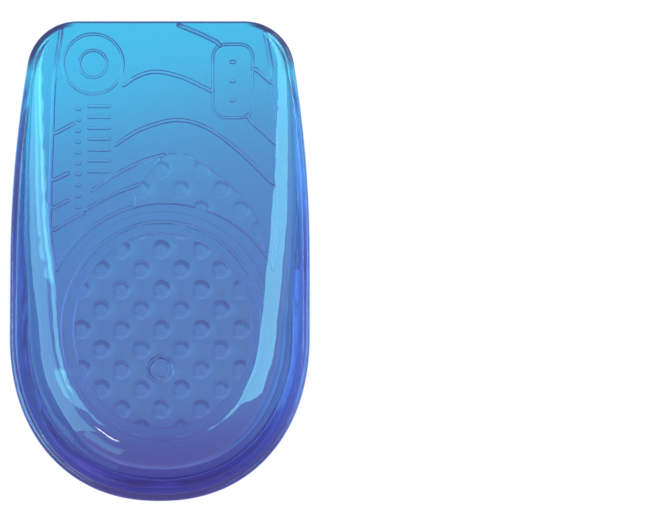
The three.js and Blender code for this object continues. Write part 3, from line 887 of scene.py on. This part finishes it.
def cup_mesh(form):
    """One closed mesh of the cup: the shell of rings and the sole with its relief."""
    rings, middle = shell_rings(form)
    around = len(rings[0])
    shell = numpy.concatenate(rings)
    wearing_side = shell[around * WEARING_START:]
    wearing_side[:, 2] += ripples(wearing_side[:, :2], form)
    points = [tuple(point) for point in shell]
    points.append((*middle, float(form.floor_height(middle[1]) + ripples(middle[None], form)[0])))
    faces = shell_faces(len(rings), around)
    sole_points, triangles, edge_ids = sole_triangles(form, rings[0][:, :2])
    ids = []
    for i, point in enumerate(sole_points):
        if i in edge_ids:
            ids.append(edge_ids[i])
        else:
            ids.append(len(points))
            points.append(tuple(point))
    for triangle in triangles:
        faces.append(tuple(ids[i] for i in reversed(triangle)))
    mesh = bpy.data.meshes.new("gel_cup")
    mesh.from_pydata(points, [], faces)
    mesh.validate()
    mesh.shade_smooth()
    return mesh


class Number:
    """A number socket whose Python sums become Math nodes."""

    def __init__(self, tree, socket):
        self.tree = tree
        self.socket = socket

    def fade(self, none, full):
        """0 up to one value, 1 from the other on and smooth between them."""
        made = self.tree.add("ShaderNodeMapRange", {"interpolation_type": "SMOOTHSTEP"}, {
            "Value": self, "From Min": none, "From Max": full})
        return Number(self.tree, made.outputs["Result"])

    def join(self, operation, first, second):
        made = self.tree.add("ShaderNodeMath", {"operation": operation}, {0: first, 1: second})
        return Number(self.tree, made.outputs[0])

    def __add__(self, other):
        return self.join("ADD", self, other)

    def __sub__(self, other):
        return self.join("SUBTRACT", self, other)

    def __rsub__(self, other):
        return self.join("SUBTRACT", other, self)

    def __mul__(self, other):
        return self.join("MULTIPLY", self, other)

    def __abs__(self):
        return self.join("ABSOLUTE", self, 0.0)

    def maximum(self, other):
        return self.join("MAXIMUM", self, other)

    __radd__ = __add__
    __rmul__ = __mul__


class Finish:
    """A material's node tree."""

    def __init__(self, name):
        self.material = bpy.data.materials.new(name)
        self.material.use_nodes = True
        self.nodes = self.material.node_tree.nodes
        self.links = self.material.node_tree.links
        self.nodes.clear()

    def add(self, kind, settings=None, values=None):
        node = self.nodes.new(kind)
        for name, value in (settings or {}).items():
            setattr(node, name, value)
        for name, value in (values or {}).items():
            self.feed(node.inputs[name], value)
        return node

    def feed(self, socket, value):
        if isinstance(value, Number):
            value = value.socket
        if isinstance(value, bpy.types.NodeSocket):
            self.links.new(value, socket)
        else:
            socket.default_value = value

    def number(self, node, name=0):
        return Number(self, node.outputs[name])

    def parts(self, vector):
        """The three numbers of a vector."""
        node = self.add("ShaderNodeSeparateXYZ", {}, {"Vector": vector})
        return [self.number(node, axis) for axis in "XYZ"]

    def flat(self, x, y):
        return self.add("ShaderNodeCombineXYZ", {}, {"X": x, "Y": y}).outputs["Vector"]

    def distance(self, spot, centre):
        node = self.add("ShaderNodeVectorMath", {"operation": "DISTANCE"}, {0: spot, 1: (*centre, 0)})
        return self.number(node, "Value")

    def blend(self, factor, first, second):
        """A colour between two others."""
        node = self.add("ShaderNodeMix", {"data_type": "RGBA"}, {0: factor, 6: first, 7: second})
        return node.outputs[2]

    def noise(self, position, scale, detail, roughness):
        node = self.add("ShaderNodeTexNoise", {}, {
            "Vector": position, "Scale": scale, "Detail": detail, "Roughness": roughness})
        return self.number(node, "Fac")

    def bump(self, measures, height, under=None):
        """Low relief in the shading alone, over another where one is given."""
        strength, distance = measures
        values = {"Strength": strength, "Distance": distance, "Height": height}
        if under is not None:
            values["Normal"] = under
        return self.add("ShaderNodeBump", {}, values).outputs["Normal"]


def painted_corner_shade(finish, form, x, y):
    """Painted shade: 1 on the outermost line of the two front corners, thickest in the middle of each."""
    radius = form.shape.corner_radius
    away = finish.distance(finish.flat(abs(x), y), (form.corner_x, form.corner_y))
    line = away.fade(radius - CORNER_LINE, radius - CORNER_LINE / 2)
    sideways = abs(x).fade(form.corner_x, form.corner_x + CORNER_FADE)
    return line * sideways * y.fade(form.corner_y, form.corner_y + CORNER_FADE)


def painted_gate_shade(finish, form, x, y):
    """Painted shade: 1 on the torn rim of the moulding gate, and faint where it is broken on its right.
    """
    radius = form.relief.gate_diameter / 2
    centre_x, centre_y = form.gate_centre
    across, along = GATE_LINE_SIDE
    spot = finish.flat(x, y)
    torn = finish.noise(spot, *GATE_NOISE) - 0.5
    away = finish.distance(spot, form.gate_centre) * (1 / radius) + torn * GATE_LINE_TEAR
    line = away.fade(*GATE_LINE_IN) * away.fade(*GATE_LINE_OUT)
    sideways = ((x - centre_x) * across + (y - centre_y) * along) * (1 / radius) + torn
    whole = sideways.fade(*GATE_LINE_RUN)
    return line * (whole * (1 - GATE_LINE_LEAST) + GATE_LINE_LEAST)


def run_tint(finish, look, x, y):
    """Cyan at the thin front, bluer over the arch and violet blue at the heel."""
    along = y - x * TINT_SLANT
    tint = finish.blend(along.fade(*HEEL_TINT_RUN), (*look.arch_tint, 1), (*look.heel_tint, 1))
    tint = finish.blend(along.fade(*FRONT_TINT_RUN), tint, (*look.front_tint, 1))
    return finish.blend(y.fade(*BACK_TINT_RUN), tint, (*look.back_tint, 1))


def gel_tint(finish, look, form, position):
    """The tints along the cup, with painted shade on the roofs, painted highlight and navy painted shade
    on the sides of the sole's relief, and painted shade on the front edge, its corners and the gate's
    rim.
    """
    x, y, z = finish.parts(position)
    across, ahead, up = finish.parts(finish.add("ShaderNodeTexCoord").outputs["Normal"])

    def facing(side, run):
        return ((across * side[0] + ahead * side[1]) * up).fade(*run)

    sole = z.fade(*SOLE_TOP)
    steep = abs(up).fade(*STEEP) * sole
    shaded = facing(SHADED_SIDE, SHADED_RUN)
    # Painted shade that darkens the roofs of the pockets and grooves
    roofs = z.fade(*ROOF_RISE) * z.fade(*ROOF_TOP) * y.fade(*ROOF_FRONT)
    tint = finish.blend(roofs * ROOF_SHARE, run_tint(finish, look, x, y), (*look.roof_shade_tint, 1))
    # Painted highlight on the lit sides of studs and grooves
    tint = finish.blend(steep * facing(LIT_SIDE, LIT_RUN) * LIT_SHARE, tint, (*look.highlight_tint, 1))
    # Painted shade crescents on the studs' shaded sides, made patchy by noise at the heel
    patchy = finish.noise(position, *PATCHY_NOISE).fade(*PATCHY_RUN).maximum(y.fade(*PATCHY_FRONT))
    crescents = shaded * (CRESCENT_LEAST + CRESCENT_PATCHY * patchy) * z.fade(*CRESCENT_START)
    # Painted shade on the steep sides of grooves, darkest on their shaded side
    grooves = z.fade(*GROOVE_TOP) * (GROOVE_LEAST + (1 - GROOVE_LEAST) * shaded)
    # Painted shade line along the steep front edge
    front_edge = abs(up).fade(*FRONT_EDGE_TURN) * y.fade(*FRONT_EDGE_START)
    # All the painted shade, blended to navy
    dark = (steep * crescents.maximum(grooves)).maximum(front_edge)
    dark = dark.maximum(painted_corner_shade(finish, form, x, y)).maximum(painted_gate_shade(finish, form, x, y) * sole)
    return finish.blend(dark * (2 - dark), tint, (*look.edge_shade_tint, 1))


def gel_finish(look, form):
    """Clear tinted gel that darkens with its thickness, with a soft shiny skin."""
    finish = Finish("blue_gel")
    position = finish.add("ShaderNodeTexCoord").outputs["Object"]
    flow = finish.bump(FLOW_BUMP, finish.noise(position, *FLOW_NOISE))
    skin = finish.bump(SKIN_BUMP, finish.noise(position, *SKIN_NOISE), flow)
    sole = finish.parts(position)[2].fade(*DULL_TOP)
    dull = 0.5 + finish.noise(position, *DULL_NOISE)
    roughness = dull * look.roughness + sole * look.sole_roughness
    # The gel glows faintly with painted light, by its emission
    gel = finish.add("ShaderNodeBsdfPrincipled", {}, {
        "Base Color": gel_tint(finish, look, form, position), "Transmission Weight": 1.0,
        "IOR": look.ior, "Roughness": roughness, "Normal": skin,
        "Emission Color": (*look.painted_glow_tint, 1), "Emission Strength": look.painted_glow_strength})
    clear = finish.add("ShaderNodeBsdfTransparent", {}, {"Color": (*look.lamp_tint, 1)})
    rays = finish.add("ShaderNodeLightPath")
    passing = finish.number(rays, "Is Shadow Ray").maximum(finish.number(rays, "Is Diffuse Ray"))
    shown = finish.add("ShaderNodeMixShader", {}, {
        0: passing, 1: gel.outputs["BSDF"], 2: clear.outputs["BSDF"]})
    depth = finish.add("ShaderNodeVolumeAbsorption", {}, {
        "Color": (*look.depth_tint, 1), "Density": look.density})
    finish.add("ShaderNodeOutputMaterial", {}, {
        "Surface": shown.outputs["Shader"], "Volume": depth.outputs["Volume"]})
    return finish.material


def floor_finish(stage):
    finish = Finish("studio_floor")
    plain = finish.add("ShaderNodeBsdfPrincipled", {}, {
        "Base Color": (*stage.floor_colour, 1), "Roughness": 0.9, "Specular IOR Level": 0.0})
    finish.add("ShaderNodeOutputMaterial", {}, {"Surface": plain.outputs["BSDF"]})
    return finish.material


class HEELCUP_OT_cup(bpy.types.Operator):
    """Model the gel cup over its construction solid"""

    bl_idname = "heelcup.cup"
    bl_label = "Gel cup"

    def execute(self, context):
        scene = context.scene
        form = CupForm(scene.heelcup_shape, scene.heelcup_relief)
        mesh = cup_mesh(form)
        cup = bpy.data.objects.new("gel_cup", mesh)
        scene.collection.objects.link(cup)
        cup.data.materials.append(gel_finish(scene.heelcup_gel, form))
        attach(cup, "root")
        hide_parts(NODE)
        return {"FINISHED"}


def add_lamp(scene, name, place, size, strength, colour, turn):
    """A soft box that faces the cup and shows in its gloss alone."""
    lamp = bpy.data.lights.new(name, "AREA")
    lamp.shape = "RECTANGLE"
    lamp.size, lamp.size_y = size
    lamp.energy = strength
    lamp.color = colour
    holder = bpy.data.objects.new(name, lamp)
    holder.location = place
    aim = Vector(LAMP_AIM) - Vector(place)
    holder.rotation_euler = aim.to_track_quat("-Z", "Y").to_euler()
    holder.rotation_euler.rotate_axis("Z", math.radians(turn))
    holder.visible_camera = False
    holder.visible_diffuse = False
    holder.visible_transmission = False
    scene.collection.objects.link(holder)


class HEELCUP_OT_stage(bpy.types.Operator):
    """Set the pale floor, the soft studio light and the camera"""

    bl_idname = "heelcup.stage"
    bl_label = "Studio stage"

    def execute(self, context):
        scene = context.scene
        stage = scene.heelcup_stage
        self.add_floor(scene, stage)
        self.add_camera(scene, stage)
        self.add_light(scene, stage)
        scene.view_settings.view_transform = "Standard"
        scene.cycles.max_bounces = LIGHT_BOUNCES
        scene.cycles.transmission_bounces = LIGHT_BOUNCES
        scene.cycles.transparent_max_bounces = LIGHT_BOUNCES
        return {"FINISHED"}

    def add_floor(self, scene, stage):
        half = stage.floor_size / 2
        height = LOW[2] - stage.floor_drop
        mesh = bpy.data.meshes.new("studio_floor")
        mesh.from_pydata([(-half, -half, height), (half, -half, height), (half, half, height),
                          (-half, half, height)], [], [(0, 1, 2, 3)])
        floor = bpy.data.objects.new("studio_floor", mesh)
        scene.collection.objects.link(floor)
        floor.data.materials.append(floor_finish(stage))

    def add_camera(self, scene, stage):
        camera = bpy.data.cameras.new("camera")
        camera.sensor_fit = "HORIZONTAL"
        scale = (HIGH[1] - LOW[1]) / CUP_LENGTH_PX
        camera.lens = camera.sensor_width * stage.camera_height / (PHOTO_WIDTH * scale)
        camera.clip_end = 10 * stage.camera_height
        holder = bpy.data.objects.new("camera", camera)
        across = (PHOTO_WIDTH / 2 - CUP_CENTRE_PX[0]) * scale
        along = (CUP_CENTRE_PX[1] - PHOTO_HEIGHT / 2) * scale
        middle_x = (LOW[0] + HIGH[0]) / 2
        middle_y = (LOW[1] + HIGH[1]) / 2
        holder.location = (middle_x + across, middle_y + along, stage.camera_height)
        scene.collection.objects.link(holder)
        scene.camera = holder

    def add_light(self, scene, stage):
        world = bpy.data.worlds.new("studio")
        world.use_nodes = True
        sky = world.node_tree.nodes["Background"]
        sky.inputs["Color"].default_value = (1, 1, 1, 1)
        sky.inputs["Strength"].default_value = stage.sky
        scene.world = world
        for lamp in LAMPS:
            add_lamp(scene, *lamp)


class HEELCUP_PT_panel(bpy.types.Panel):
    """Lists the steps that make the heel cup"""

    bl_idname = "HEELCUP_PT_panel"
    bl_label = "Heel cup"
    bl_space_type = "VIEW_3D"
    bl_region_type = "UI"
    bl_category = "Heel cup"

    def draw(self, context):
        for operator in (HEELCUP_OT_cup, HEELCUP_OT_stage):
            self.layout.operator(operator.bl_idname)


CLASSES = (CupShape, SoleRelief, GelFinish, StudioStage,
           HEELCUP_OT_cup, HEELCUP_OT_stage, HEELCUP_PT_panel)
SETTINGS = {
    "heelcup_shape": CupShape,
    "heelcup_relief": SoleRelief,
    "heelcup_gel": GelFinish,
    "heelcup_stage": StudioStage,
}


def register():
    for cls in CLASSES:
        bpy.utils.register_class(cls)
    for name, group in SETTINGS.items():
        setattr(bpy.types.Scene, name, PointerProperty(type=group))


def unregister():
    for name in SETTINGS:
        delattr(bpy.types.Scene, name)
    for cls in reversed(CLASSES):
        bpy.utils.unregister_class(cls)


def main():
    register()
    bpy.ops.heelcup.cup()
    bpy.ops.heelcup.stage()


if __name__ == "__main__":
    main()
